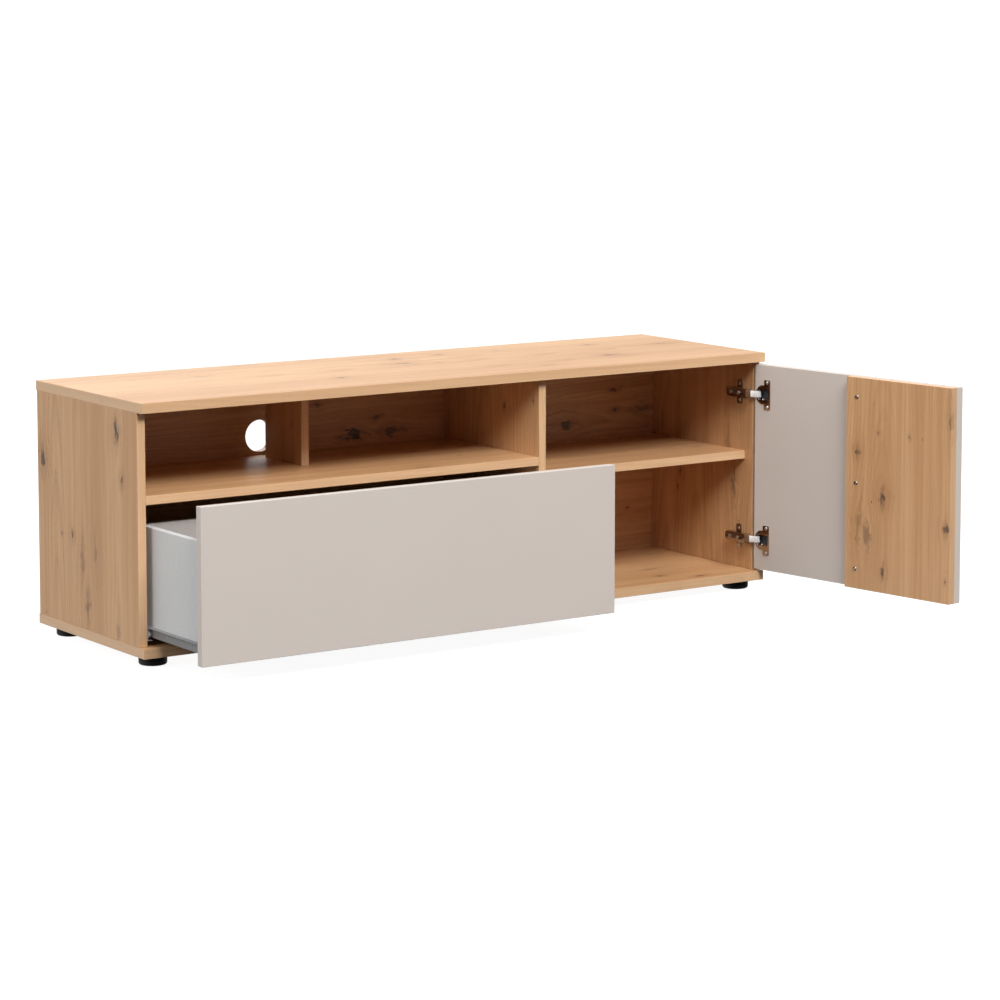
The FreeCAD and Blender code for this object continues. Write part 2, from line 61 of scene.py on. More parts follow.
# The door as it stands closed: its pieces are drawn there and turned open about its hinge line.
HINGE = JOINTS["door_hinge"]
OPEN_ANGLE = math.radians(-min(HINGE["range_deg"]))
DOOR_OPEN = (Matrix.Translation(HINGE["pos_m"]) @ Matrix.Rotation(OPEN_ANGLE, 4, "Z")
             @ Matrix.Translation(-Vector(HINGE["pos_m"])))
STRAIGHT = Matrix.Identity(4)


def box_of(places):
    """The lowest and the highest corner of some places."""
    return tuple(Vector([pick(place[axis] for place in places) for axis in range(3)]) for pick in (min, max))


def closed_box(node):
    """The box of a door node, as it stands when the door is closed."""
    back = DOOR_OPEN.inverted()
    return box_of([back @ vertex.co for vertex in NODES[node].data.vertices])


def middle_of(box):
    return (box[0] + box[1]) / 2


# ---- node helpers ----

class Net:
    """Short names for the shader nodes of one tree. Values are sockets, numbers or triples."""

    def __init__(self, tree):
        self.tree = tree

    def node(self, kind, **settings):
        made = self.tree.nodes.new(kind)
        for name, value in settings.items():
            setattr(made, name, value)
        return made

    def feed(self, socket, value):
        if isinstance(value, bpy.types.NodeSocket):
            self.tree.links.new(value, socket)
        elif value is not None:
            socket.default_value = value

    def math(self, operation, a, b=None, c=None):
        made = self.node("ShaderNodeMath", operation=operation)
        for socket, value in zip(made.inputs, (a, b, c)):
            self.feed(socket, value)
        return made.outputs[0]

    def square_sum(self, a, b):
        return self.math("ADD", self.math("MULTIPLY", a, a), self.math("MULTIPLY", b, b))

    def sway(self, value, noise, reach):
        """Move a value by a noise of 0..1, by half the reach either way."""
        return self.math("MULTIPLY_ADD", self.math("SUBTRACT", noise, 0.5), reach, value)

    def vector(self, operation, a, b=None):
        made = self.node("ShaderNodeVectorMath", operation=operation)
        self.feed(made.inputs[0], a)
        self.feed(made.inputs[1], b)
        return made.outputs[0]

    def stretch(self, place, *scale):
        return self.vector("MULTIPLY", place, scale)

    def apart(self, place):
        made = self.node("ShaderNodeSeparateXYZ")
        self.feed(made.inputs[0], place)
        return made.outputs[0], made.outputs[1], made.outputs[2]

    def join(self, x, y, z):
        made = self.node("ShaderNodeCombineXYZ")
        for socket, value in zip(made.inputs, (x, y, z)):
            self.feed(socket, value)
        return made.outputs[0]

    def noise(self, place, scale=1.0, detail=2.0, rough=0.5):
        made = self.node("ShaderNodeTexNoise")
        for name, value in (("Vector", place), ("Scale", scale), ("Detail", detail), ("Roughness", rough)):
            self.feed(made.inputs[name], value)
        return made.outputs["Fac"]

    def spread(self, value, low, high, to_low=0.0, to_high=1.0, smooth=True):
        """Map low..high to to_low..to_high, clamped."""
        made = self.node("ShaderNodeMapRange", clamp=True)
        made.interpolation_type = "SMOOTHSTEP" if smooth else "LINEAR"
        for name, number in (("Value", value), ("From Min", low), ("From Max", high),
                             ("To Min", to_low), ("To Max", to_high)):
            self.feed(made.inputs[name], number)
        return made.outputs["Result"]

    def mix(self, share, a, b, blend="MIX"):
        made = self.node("ShaderNodeMix", data_type="RGBA", blend_type=blend)
        self.feed(made.inputs["Factor"], share)
        self.feed(made.inputs[6], a)
        self.feed(made.inputs[7], b)
        return made.outputs[2]

    def share(self, share, a, b):
        made = self.node("ShaderNodeMix", data_type="FLOAT")
        for socket, value in zip(made.inputs[:1] + made.inputs[2:4], (share, a, b)):
            self.feed(socket, value)
        return made.outputs[0]

    def mix_place(self, share, a, b):
        made = self.node("ShaderNodeMix", data_type="VECTOR")
        self.feed(made.inputs[0], share)
        self.feed(made.inputs[4], a)
        self.feed(made.inputs[5], b)
        return made.outputs[1]

    def here(self, output="Object"):
        return self.node("ShaderNodeTexCoord").outputs[output]


def rgba(colour):
    return (*colour, 1.0)


def surface(base, colour, roughness, height, depth, strength, **fixed):
    """A material from its colour, roughness and height sockets. depth is the bump's height in metres."""
    material, net = base
    shader = material.node_tree.nodes["Principled BSDF"]
    net.feed(shader.inputs["Base Color"], colour)
    net.feed(shader.inputs["Roughness"], roughness)
    for socket, value in fixed.items():
        shader.inputs[socket.replace("_", " ")].default_value = value
    bump = net.node("ShaderNodeBump")
    bump.inputs["Strength"].default_value = strength
    bump.inputs["Distance"].default_value = depth
    net.feed(bump.inputs["Height"], height)
    net.feed(shader.inputs["Normal"], bump.outputs["Normal"])
    return material


def blank(name):
    material = bpy.data.materials.new(name)
    material.use_nodes = True
    return material, Net(material.node_tree)


def group(name, ins, outs):
    """An empty node group. ins and outs are pairs of a name and a socket kind."""
    tree = bpy.data.node_groups.new(name, "ShaderNodeTree")
    for label, kind in ins:
        tree.interface.new_socket(label, in_out="INPUT", socket_type="NodeSocket" + kind)
    for label, kind in outs:
        tree.interface.new_socket(label, in_out="OUTPUT", socket_type="NodeSocket" + kind)
    net = Net(tree)
    return tree, net, net.node("NodeGroupInput"), net.node("NodeGroupOutput")


# ---- oak ----
# Board places are (along the grain, across it, through the board), in metres.

# A knot, in multiples of its own half length and half width
TWIST_ALONG, TWIST_ACROSS = 2.6, 2.2
PULL_FADE, PULL = -0.16, -0.8
RAGGED = 2.2
TAIL_ALONG, TAIL_ACROSS, TAIL_DARK = 0.36, 1.5, 0.5


def make_knot_group():
    """One knot: it pushes the grain aside, darkens its heart and warms the wood around it."""
    tree, net, given, made = group(
        "knot", [("Place", "Vector"), ("Centre", "Vector"), ("Size", "Vector"), ("Dark", "Float"),
                 ("Mark", "Float"), ("Halo", "Float")],
        [("Place", "Vector"), ("Mark", "Float"), ("Halo", "Float")])
    place = given.outputs["Place"]
    offset = net.vector("SUBTRACT", place, given.outputs["Centre"])
    unit = net.vector("DIVIDE", offset, given.outputs["Size"])
    along, across, _ = net.apart(unit)
    twist_a = net.noise(net.vector("ADD", net.stretch(place, 45.0, 95.0, 1.0), (7.3, 2.1, 0.0)), detail=2.0)
    twist_b = net.noise(net.stretch(place, 40.0, 110.0, 1.0), detail=2.0)
    along = net.sway(along, twist_a, TWIST_ALONG)
    across = net.sway(across, twist_b, TWIST_ACROSS)
    square = net.square_sum(along, across)
    pull = net.math("EXPONENT", net.math("MULTIPLY", square, PULL_FADE))
    _, off_across, _ = net.apart(offset)
    shift = net.math("MULTIPLY", net.math("MULTIPLY", off_across, pull), PULL)
    net.feed(made.inputs["Place"], net.vector("ADD", place, net.join(0.0, shift, 0.0)))
    frayed = net.noise(net.stretch(place, 90.0, 260.0, 260.0), detail=4.0, rough=0.7)
    ragged = net.math("MULTIPLY_ADD", frayed, RAGGED, -RAGGED / 2)
    heart = net.spread(net.math("ADD", net.math("SQRT", square), ragged), 1.0, 0.5)
    tail = net.math("SQRT", net.square_sum(net.math("MULTIPLY", along, TAIL_ALONG),
                                           net.math("MULTIPLY", across, TAIL_ACROSS)))
    tail = net.math("MULTIPLY", net.spread(net.math("ADD", tail, ragged), 1.1, 0.2), TAIL_DARK)
    heart = net.math("MULTIPLY", net.math("MAXIMUM", heart, tail), given.outputs["Dark"])
    net.feed(made.inputs["Mark"], net.math("MAXIMUM", given.outputs["Mark"], heart))
    glow = net.math("MULTIPLY", pull, given.outputs["Dark"])
    net.feed(made.inputs["Halo"], net.math("MAXIMUM", given.outputs["Halo"], glow))
    return tree


STRIP_WIDE = 0.118
RING_PITCH = 0.0068
# How far rings stray sideways, broadly and finely, and how the log's heart lies under a strip
WANDER, RIPPLE = 0.050, 0.0055
LEAST_RISE, RISE, TILT = 0.004, 0.05, 0.045
HELD_RISE, HELD_SLOPE = 0.002, 0.11
# How strongly each mark tints the wood
LATE_SHARE, PORE_SHARE, HALO_SHARE, PIN_SHARE = 0.30, 0.55, 0.62, 0.75
WIDEST_PIN = 0.024
OAK_PALE = (0.690, 0.415, 0.213)
OAK_MID = (0.565, 0.311, 0.145)
OAK_DARK = (0.400, 0.190, 0.082)
OAK_PORE = (0.270, 0.125, 0.055)
OAK_BAND = (0.800, 0.560, 0.360)
BAND_PALER = 0.35
END_PALER = 0.60
KNOT_HEART = (0.070, 0.038, 0.026)
KNOT_GREY = (0.150, 0.095, 0.070)


def make_oak_group():
    """Oak boards glued from strips. Place is the straight board place and Grain the one that knots bend."""
    tree, net, given, made = group(
        "oak", [("Place", "Vector"), ("Grain", "Vector"), ("Seed", "Float"), ("Mark", "Float"),
                ("Halo", "Float"), ("Strip", "Float"), ("Pith", "Float"), ("Held", "Float"),
                ("Band", "Float")],
        [("Colour", "Color"), ("Roughness", "Float"), ("Height", "Float")])
    place, grain = given.outputs["Place"], given.outputs["Grain"]
    seed = given.outputs["Seed"]
    seeded = net.join(seed, net.math("MULTIPLY", seed, 1.7), net.math("MULTIPLY", seed, -0.6))
    place = net.vector("ADD", place, seeded)
    grain = net.vector("ADD", grain, seeded)
    # strips
    _, across, _ = net.apart(place)
    strip_wide = given.outputs["Strip"]
    strip = net.math("FLOOR", net.math("DIVIDE", across, strip_wide))
    chance = net.node("ShaderNodeTexWhiteNoise", noise_dimensions="1D")
    net.feed(chance.inputs["W"], net.math("ADD", strip, net.math("MULTIPLY", seed, 13.0)))
    lot_a, lot_b, lot_c = net.apart(chance.outputs["Color"])
    # rings
    along, aside, _ = net.apart(grain)
    wander = net.noise(net.stretch(grain, 1.7, 9.0, 9.0), detail=2.0)
    ripple = net.noise(net.stretch(grain, 7.0, 60.0, 60.0), detail=2.0)
    aside = net.sway(net.sway(aside, wander, WANDER), ripple, RIPPLE)
    pith = net.math("ADD", strip, net.math("MULTIPLY_ADD", lot_a, 1.1, -0.05))
    pith = net.math("MULTIPLY", pith, strip_wide)
    held = given.outputs["Held"]
    pith = net.share(held, pith, net.math("ADD", given.outputs["Pith"], net.math("MULTIPLY", seed, 1.7)))
    sideways = net.math("SUBTRACT", aside, pith)
    rise = net.math("MULTIPLY_ADD", lot_b, RISE, LEAST_RISE)
    tilt = net.math("SUBTRACT", along, net.math("MULTIPLY_ADD", lot_c, -0.9, seed))
    held_up = net.math("MULTIPLY_ADD", net.math("SUBTRACT", along, seed), HELD_SLOPE, HELD_RISE)
    up = net.share(held, net.math("ADD", rise, net.math("MULTIPLY", tilt, TILT)), held_up)
    radius = net.math("SQRT", net.square_sum(sideways, up))
    year = net.math("FRACT", net.math("DIVIDE", radius, RING_PITCH))
    late = net.math("MULTIPLY", net.spread(year, 0.35, 0.9), net.spread(year, 1.0, 0.92))
    fade = net.spread(net.noise(net.stretch(grain, 1.3, 12.0, 12.0), detail=1.0), 0.38, 0.62, 0.2, 1.0)
    late = net.math("MULTIPLY", late, fade)
    # fibres and pores
    fibre = net.noise(net.stretch(grain, 9.0, 900.0, 900.0), detail=3.0, rough=0.6)
    streak = net.noise(net.stretch(grain, 2.2, 150.0, 150.0), detail=3.0, rough=0.6)
    dash = net.noise(net.stretch(grain, 75.0, 1500.0, 1500.0), detail=1.0)
    pore = net.math("MULTIPLY", net.spread(dash, 0.60, 0.68), net.math("MULTIPLY_ADD", late, 0.75, 0.25))
    # colour
    broad = net.noise(net.stretch(place, 1.1, 7.0, 7.0), detail=2.0)
    tone = net.math("ADD", net.math("MULTIPLY", net.spread(broad, 0.3, 0.7), 0.55),
                    net.math("MULTIPLY", lot_b, 0.50))
    tone = net.math("ADD", tone, net.math("MULTIPLY_ADD", streak, 2.3, -1.15))
    band = net.noise(net.stretch(grain, 0.7, 34.0, 34.0), detail=2.0)
    tone = net.math("ADD", tone, net.math("MULTIPLY_ADD", band, 2.0, -1.0))
    colour = net.mix(net.spread(tone, 0.0, 1.0, smooth=False), rgba(OAK_PALE), rgba(OAK_MID))
    colour = net.mix(net.math("MULTIPLY", late, LATE_SHARE), colour, rgba(OAK_DARK))
    shade = net.math("MULTIPLY_ADD", fibre, 0.50, 0.76)
    colour = net.mix(1.0, colour, net.join(shade, shade, shade), "MULTIPLY")
    colour = net.mix(net.math("MULTIPLY", pore, PORE_SHARE), colour, rgba(OAK_PORE))
    halo = net.math("MULTIPLY", given.outputs["Halo"], net.spread(streak, 0.25, 0.7, 0.35, 1.0))
    colour = net.mix(net.math("MULTIPLY", halo, HALO_SHARE), colour, rgba(OAK_DARK))
    # pin knots
    pins = net.node("ShaderNodeTexVoronoi", voronoi_dimensions="2D")
    net.feed(pins.inputs["Vector"], net.stretch(place, 7.0, 12.0, 1.0))
    pins.inputs["Scale"].default_value = 1.0
    lots, _, _ = net.apart(pins.outputs["Color"])
    wide = net.spread(lots, 0.55, 1.0, 0.0, WIDEST_PIN, smooth=False)
    pin = net.spread(net.math("DIVIDE", pins.outputs["Distance"], net.math("ADD", wide, 0.0001)), 1.0, 0.6)
    mark = net.math("MAXIMUM", given.outputs["Mark"], net.math("MULTIPLY", pin, PIN_SHARE))
    heart = net.mix(net.spread(net.noise(net.stretch(place, 60.0, 190.0, 1.0), detail=3.0), 0.35, 0.65),
                    rgba(KNOT_HEART), rgba(KNOT_GREY))
    colour = net.mix(mark, colour, heart)
    colour = net.mix(given.outputs["Band"], colour, rgba(OAK_BAND))
    net.feed(made.inputs["Colour"], colour)
    rough = net.math("MULTIPLY_ADD", pore, 0.2, net.math("MULTIPLY_ADD", fibre, 0.10, 0.30))
    net.feed(made.inputs["Roughness"], rough)
    dents = net.math("ADD", net.math("MULTIPLY", pore, 0.8), net.math("MULTIPLY", mark, 0.5))
    net.feed(made.inputs["Height"], net.math("SUBTRACT", net.math("MULTIPLY", fibre, 0.35), dents))
    return tree


KNOT_GROUP = make_knot_group()
OAK_GROUP = make_oak_group()
FACING = 0.8
END_SHIFT = 0.31


def oak(name, corner, along, across, seed, knots=(), turn=None, strip=STRIP_WIDE, pith=None):
    """Oak for one board, placed from its low corner. A knot is (along, across, half length, half width,
    darkness), in mm. turn is the hinge place and angle of a board on the open door."""
    material, net = blank(name)
    place, normal = net.here(), net.here("Normal")
    if turn is not None:
        back = net.node("ShaderNodeVectorRotate", rotation_type="Z_AXIS")
        net.feed(back.inputs["Vector"], place)
        back.inputs["Center"].default_value = turn[0]
        back.inputs["Angle"].default_value = -turn[1]
        place = back.outputs[0]
        spin = net.node("ShaderNodeVectorRotate", rotation_type="Z_AXIS")
        net.feed(spin.inputs["Vector"], normal)
        spin.inputs["Angle"].default_value = -turn[1]
        normal = spin.outputs[0]
    place = net.vector("SUBTRACT", place, tuple(corner))
    through = ({"X", "Y", "Z"} - {along, across}).pop()
    parts = dict(zip("XYZ", net.apart(place)))
    u, v, w = parts[along], parts[across], parts[through]
    face = net.join(u, net.math("ADD", v, w), 0.0)
    end = net.join(v, net.math("ADD", w, END_SHIFT), 0.0)
    facing = dict(zip("XYZ", net.apart(normal)))
    on_end, on_edge = [net.math("GREATER_THAN", net.math("ABSOLUTE", facing[axis]), FACING)
                       for axis in (along, across)]
    board_place = net.mix_place(on_end, face, end)
    grain, mark, halo = board_place, 0.0, 0.0
    for k_along, k_across, half_long, half_wide, dark in knots:
        knot = net.node("ShaderNodeGroup", node_tree=KNOT_GROUP)
        net.feed(knot.inputs["Place"], grain)
        knot.inputs["Centre"].default_value = (k_along * MM, k_across * MM, 0.0)
        knot.inputs["Size"].default_value = (half_long * MM, half_wide * MM, 1.0)
        knot.inputs["Dark"].default_value = dark
        net.feed(knot.inputs["Mark"], mark)
        net.feed(knot.inputs["Halo"], halo)
        grain, mark, halo = knot.outputs["Place"], knot.outputs["Mark"], knot.outputs["Halo"]
    wood = net.node("ShaderNodeGroup", node_tree=OAK_GROUP)
    net.feed(wood.inputs["Place"], board_place)
    net.feed(wood.inputs["Grain"], grain)
    wood.inputs["Seed"].default_value = seed
    wood.inputs["Strip"].default_value = strip
    wood.inputs["Pith"].default_value = (pith or 0) * MM
    wood.inputs["Held"].default_value = 0.0 if pith is None else 1.0
    net.feed(wood.inputs["Mark"], mark)
    net.feed(wood.inputs["Halo"], halo)
    net.feed(wood.inputs["Band"], net.math("MAXIMUM", net.math("MULTIPLY", on_end, END_PALER),
                                               net.math("MULTIPLY", on_edge, BAND_PALER)))
    return surface((material, net), wood.outputs["Colour"], wood.outputs["Roughness"],
                   wood.outputs["Height"], depth=0.00012, strength=0.6, IOR=1.5, Specular_IOR_Level=0.7)


# ---- other materials ----

def make_grey():
    material, net = blank("cashmere_grey")
    place = net.here()
    cloud = net.noise(net.stretch(place, 5.0, 5.0, 5.0), detail=3.0)
    grit = net.noise(place, 2600.0, detail=2.0)
    peel = net.noise(place, 420.0, detail=2.0)
    shade = net.math("ADD", net.math("MULTIPLY", cloud, 0.6), net.math("MULTIPLY", grit, 0.4))
    colour = net.mix(shade, rgba((0.605, 0.540, 0.492)), rgba((0.640, 0.574, 0.525)))
    rough = net.math("MULTIPLY_ADD", cloud, 0.10, 0.40)
    return surface((material, net), colour, rough, peel, depth=0.00004, strength=0.5, IOR=1.5)


WARP_PITCH, WEFT_PITCH = 0.0021, 0.0017


def make_box_board(name, deep, pale):
    """Drawer board with a fine woven emboss, which runs along x and y on level faces."""
    material, net = blank(name)
    place = net.here()
    x, y, z = net.apart(place)
    loose = net.math("MULTIPLY", net.noise(place, 240.0, detail=2.0), 0.0016)
    _, _, upward = net.apart(net.here("Normal"))
    level = net.math("GREATER_THAN", net.math("ABSOLUTE", upward), FACING)
    flat = net.math("ADD", net.share(level, net.math("ADD", x, y), x), loose)
    other = net.math("ADD", net.share(level, z, y), loose)
    warp = net.math("SINE", net.math("MULTIPLY", flat, 2 * math.pi / WARP_PITCH))
    weft = net.math("SINE", net.math("MULTIPLY", other, 2 * math.pi / WEFT_PITCH))
    thread = net.noise(net.stretch(net.join(flat, other, 0.0), 90.0, 700.0, 1.0), detail=3.0)
    weave = net.math("MULTIPLY_ADD", net.math("ADD", warp, weft), 0.25, 0.5)
    shade = net.math("ADD", net.math("MULTIPLY", weave, 0.45), net.math("MULTIPLY", thread, 0.55))
    colour = net.mix(net.spread(shade, 0.25, 0.75), rgba(deep), rgba(pale))
    return surface((material, net), colour, net.math("MULTIPLY_ADD", shade, 0.2, 0.42), weave,
                   depth=0.00008, strength=0.6, IOR=1.5)


def make_metal(name, pale, deep, rough, metallic, speck, scale, depth):
    """Plated or painted steel: fine drawn lines or specks, and faint handling marks."""
    material, net = blank(name)
    place = net.here()
    lines = net.noise(net.stretch(place, *scale), detail=2.0)
    smear = net.noise(place, 55.0, detail=4.0, rough=0.6)
    dots = net.noise(place, speck, detail=1.0)
    shade = net.math("ADD", net.math("MULTIPLY", lines, 0.5), net.math("MULTIPLY", dots, 0.5))
    colour = net.mix(shade, rgba(deep), rgba(pale))
    roughness = net.math("MULTIPLY_ADD", smear, 0.16, rough)
    return surface((material, net), colour, roughness, net.math("ADD", lines, dots), depth=depth,
                   strength=0.5, Metallic=metallic)


def make_plastic(name, pale, deep, rough, grain):
    material, net = blank(name)
    place = net.here()
    grit = net.noise(place, grain, detail=2.0)
    cloud = net.noise(place, 40.0, detail=3.0)
    colour = net.mix(cloud, rgba(deep), rgba(pale))
    return surface((material, net), colour, net.math("MULTIPLY_ADD", grit, 0.2, rough), grit,
                   depth=0.00005, strength=0.6, IOR=1.48)


def make_beech():
    material, net = blank("beech")
    place = net.here()
    fleck = net.noise(net.stretch(place, 500.0, 500.0, 90.0), detail=2.0)
    ring = net.noise(net.stretch(place, 160.0, 160.0, 8.0), detail=2.0)
    colour = net.mix(ring, rgba((0.50, 0.33, 0.18)), rgba((0.66, 0.48, 0.29)))
    colour = net.mix(net.spread(fleck, 0.6, 0.7, 0.0, 0.6), colour, rgba((0.36, 0.20, 0.10)))
    return surface((material, net), colour, net.math("MULTIPLY_ADD", fleck, 0.2, 0.5), fleck,
                   depth=0.0001, strength=0.5)


GREY = make_grey()
BOX_BOARD = make_box_board("woven_grey", (0.57, 0.58, 0.59), (0.70, 0.705, 0.70))
# A darker copy of the woven drawer board: painted shade for the inside of the drawer, where little light falls
BOX_PAINTED_SHADE = make_box_board("woven_grey_painted_shade", (0.34, 0.315, 0.30), (0.48, 0.445, 0.42))
PLATED = make_metal("plated_steel", (0.52, 0.47, 0.44), (0.40, 0.35, 0.32), 0.10, 1.0, 1900.0,
                    (60.0, 60.0, 1500.0), 0.00001)
BRIGHT = make_metal("bright_link", (0.95, 0.95, 0.95), (0.88, 0.88, 0.88), 0.34, 0.25, 1900.0,
                    (60.0, 60.0, 1500.0), 0.00001)
RUNNER = make_metal("runner_grey", (0.30, 0.305, 0.31), (0.24, 0.245, 0.25), 0.42, 0.0, 2400.0,
                    (40.0, 40.0, 300.0), 0.00004)
ZINC = make_metal("zinc", (0.78, 0.78, 0.79), (0.62, 0.62, 0.64), 0.26, 1.0, 1500.0,
                  (300.0, 300.0, 300.0), 0.00002)
NYLON = make_plastic("nylon", (0.80, 0.80, 0.78), (0.74, 0.74, 0.72), 0.30, 900.0)
BLACK = make_plastic("black_plastic", (0.012, 0.012, 0.012), (0.007, 0.007, 0.007), 0.38, 1600.0)
DARK_PLASTIC = make_plastic("damper_plastic", (0.05, 0.06, 0.07), (0.03, 0.035, 0.04), 0.35, 1600.0)
BEECH = make_beech()


def dress(node, material):
    for holder in NODES[node].material_slots:
        holder.material = material


# Half length and half width in mm, and darkness
KNOT_KINDS = {"eye": (15, 11, 0.95), "brown": (9, 8, 0.90), "small": (8, 6, 0.80), "pin": (3, 2.4, 0.80),
              "long": (28, 9, 0.55), "swirl": (22, 12, 0.50), "faint": (24, 9, 0.35)}
# Each board's grain and seed, and its few prominent knots, given as the share of the board along
# the grain, the share across it, and the kind.
BOARDS = {
    "top_panel": ("X", "Y", 1.3, ((0.20, 0.75, "faint"), (0.35, 0.35, "small"), (0.50, 0.65, "long"),
                                  (0.55, 0.60, "faint"), (0.60, 0.85, "small"), (0.80, 0.40, "eye"),
                                  (0.85, 0.80, "small"), (0.95, 0.65, "faint"))),
    "bottom_panel": ("X", "Y", 4.1, ((0.90, 0.10, "small"), (0.85, 0.20, "small"))),
    "left_side_panel": ("Z", "Y", 7.7, ((0.90, 0.20, "eye"), (0.70, 0.95, "eye"), (0.70, 0.15, "small"),
                                        (0.40, 0.65, "small"), (0.10, 0.50, "swirl"), (0.30, 0.55, "faint"),
                                        (0.05, 0.20, "faint"))),
    "centre_divider": ("Z", "Y", 9.2, ((0.85, 0.30, "small"), (0.90, 0.05, "pin"))),
    "right_side_panel": ("Z", "Y", 12.9, ((0.40, 0.15, "long"), (0.60, 0.20, "faint"),
                                          (0.40, 0.60, "small"))),
    "niche_shelf": ("X", "Y", 15.5, ((0.70, 0.10, "faint"), (0.35, 0.40, "faint"))),
    "niche_partition": ("Z", "Y", 17.1, ((0.50, 0.25, "pin"),)),
    "right_shelf": ("X", "Y", 20.3, ((0.80, 0.40, "faint"),)),
    "left_back_panel": ("X", "Z", 23.9, ((0.75, 0.70, "eye"), (0.85, 0.70, "eye"), (0.65, 0.85, "small"))),
    "right_back_panel": ("X", "Z", 26.2, ((0.55, 0.65, "eye"), (0.80, 0.70, "small"), (0.80, 0.80, "small"),
                                          (0.95, 0.70, "swirl"))),
}
DOOR_BOARD = ("Z", "X", 30.4, ((0.45, 0.70, "brown"), (0.65, 0.95, "small"), (0.25, 0.85, "swirl"),
                               (0.30, 0.90, "faint"), (0.10, 0.70, "small"), (0.10, 0.10, "pin"),
                               (0.85, 0.05, "long"), (0.75, 0.75, "pin"), (0.75, 0.45, "pin")))
AREA_PER_KNOT = 0.10
# The door's board is one wide strip, with the log's heart at this share of its width.
DOOR_STRIP = 0.6
DOOR_PITH_SHARE = 0.72
PLAIN = {"grey_front": GREY, "drawer_box": BOX_BOARD, "hinge_metal": PLATED, "runner_steel": RUNNER,
         "roller_nylon": NYLON, "foot_plastic": BLACK, "screw_steel": ZINC, "beech_dowel": BEECH}


def knots_of(box, along, across, seed, chosen):
    """The chosen knots of a board in mm from its low corner, and a few small ones scattered by its seed."""
    low, high = box
    long, wide = (high - low)["XYZ".index(along)], (high - low)["XYZ".index(across)]
    draw = random.Random(seed)
    extra = [(draw.uniform(0.05, 0.95), draw.uniform(0.05, 0.95), draw.choice(("small", "faint", "pin")))
             for _ in range(round(long * wide / AREA_PER_KNOT))]
    knots = []
    for share_along, share_across, kind in (*chosen, *extra):
        half_long, half_wide, dark = KNOT_KINDS[kind]
        size = draw.uniform(0.85, 1.2)
        knots.append((share_along * long / MM, share_across * wide / MM,
                      half_long * size, half_wide * size, dark))
    return knots


def dress_all():
    """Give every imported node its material."""
    for board, (along, across, seed, chosen) in BOARDS.items():
        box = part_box(board)
        knots = knots_of(box, along, across, seed, chosen)
        dress(board, oak("oak_" + board, box[0], along, across, seed, knots))
    box = closed_box("door_oak_board")
    along, across, seed, chosen = DOOR_BOARD
    dress("door_oak_board", oak("oak_door_board", box[0], along, across, seed,
                                knots_of(box, along, across, seed, chosen), turn=(HINGE["pos_m"], OPEN_ANGLE),
                                strip=DOOR_STRIP, pith=DOOR_PITH_SHARE * (box[1] - box[0]).x / MM))
    for node, slot in SLOT_OF.items():
        if slot in PLAIN:
            dress(node, PLAIN[slot])
    # The drawer's back and bottom get the darker board copy as painted shade
    for node in ("drawer_back", "drawer_bottom"):
        dress(node, BOX_PAINTED_SHADE)


dress_all()


# ---- mesh helpers: shapes are drawn in mm round their own origin ----

def new_piece(name, mesh_data, material, body, place, nodes=()):
    """Link a finished bmesh as a piece that rides on a body and stands for CAD nodes."""
    bmesh.ops.recalc_face_normals(mesh_data, faces=mesh_data.faces)
    mesh = bpy.data.meshes.new(name)
    mesh_data.to_mesh(mesh)
    mesh_data.free()
    mesh.transform(place @ Matrix.Scale(MM, 4))
    mesh.materials.append(material)
    piece = bpy.data.objects.new(name, mesh)
    bpy.context.scene.collection.objects.link(piece)
    for polygon in mesh.polygons:
        polygon.use_smooth = True
    mesh.set_sharp_from_angle(angle=SHARP_ANGLE)
    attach(piece, body)
    if nodes:
        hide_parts(*nodes)
    return piece


def lathe(profile, steps=48):
    """Turn a profile of (radius, height) round the z axis. Radii of 0 close the ends."""
    made = bmesh.new()
    rings = []
    for radius, height in profile:
        if radius == 0:
            rings.append([made.verts.new((0, 0, height))])
            continue
        turn = [2 * math.pi * step / steps for step in range(steps)]
        rings.append([made.verts.new((radius * math.cos(a), radius * math.sin(a), height)) for a in turn])
    for low, high in zip(rings, rings[1:]):
        for step in range(steps):
            after = (step + 1) % steps
            if len(low) == 1:
                made.faces.new((low[0], high[step], high[after]))
            elif len(high) == 1:
                made.faces.new((low[step], low[after], high[0]))
            else:
                made.faces.new((low[step], low[after], high[after], high[step]))
    return made


def slab(outline, low, high, edge=0.0):
    """A flat plate with a softened rim, from an outline of (x, y) points."""
    made = bmesh.new()
    face = made.faces.new([made.verts.new((x, y, low)) for x, y in outline])
    walls = bmesh.ops.extrude_face_region(made, geom=[face])
    bmesh.ops.translate(made, verts=[v for v in walls["geom"] if isinstance(v, bmesh.types.BMVert)],
                        vec=(0, 0, high - low))
    if edge:
        rims = [e for e in made.edges if abs(e.verts[0].co.z - e.verts[1].co.z) < TOUCHING]
        bmesh.ops.bevel(made, geom=rims, offset=edge, segments=2, affect="EDGES", profile=0.5)
    return made


def arc(cx, cy, radius, start, end, steps=8):
    """Points on an arc, its angles in degrees."""
    angles = [math.radians(start + (end - start) * step / steps) for step in range(steps + 1)]
    return [(cx + radius * math.cos(a), cy + radius * math.sin(a)) for a in angles]


def rounded(x0, y0, x1, y1, radius):
    corners = ((x1 - radius, y1 - radius, 0), (x0 + radius, y1 - radius, 90),
               (x0 + radius, y0 + radius, 180), (x1 - radius, y0 + radius, 270))
    return [point for cx, cy, start in corners for point in arc(cx, cy, radius, start, start + 90, 5)]


def merged(*pieces):
    """Several bmeshes as one, each with the matrix that places it."""
    whole = bmesh.new()
    for made, place in pieces:
        mesh = bpy.data.meshes.new("part")
        made.to_mesh(mesh)
        made.free()
        mesh.transform(place)
        whole.from_mesh(mesh)
        bpy.data.meshes.remove(mesh)
    return whole


WELD_MM = 0.001


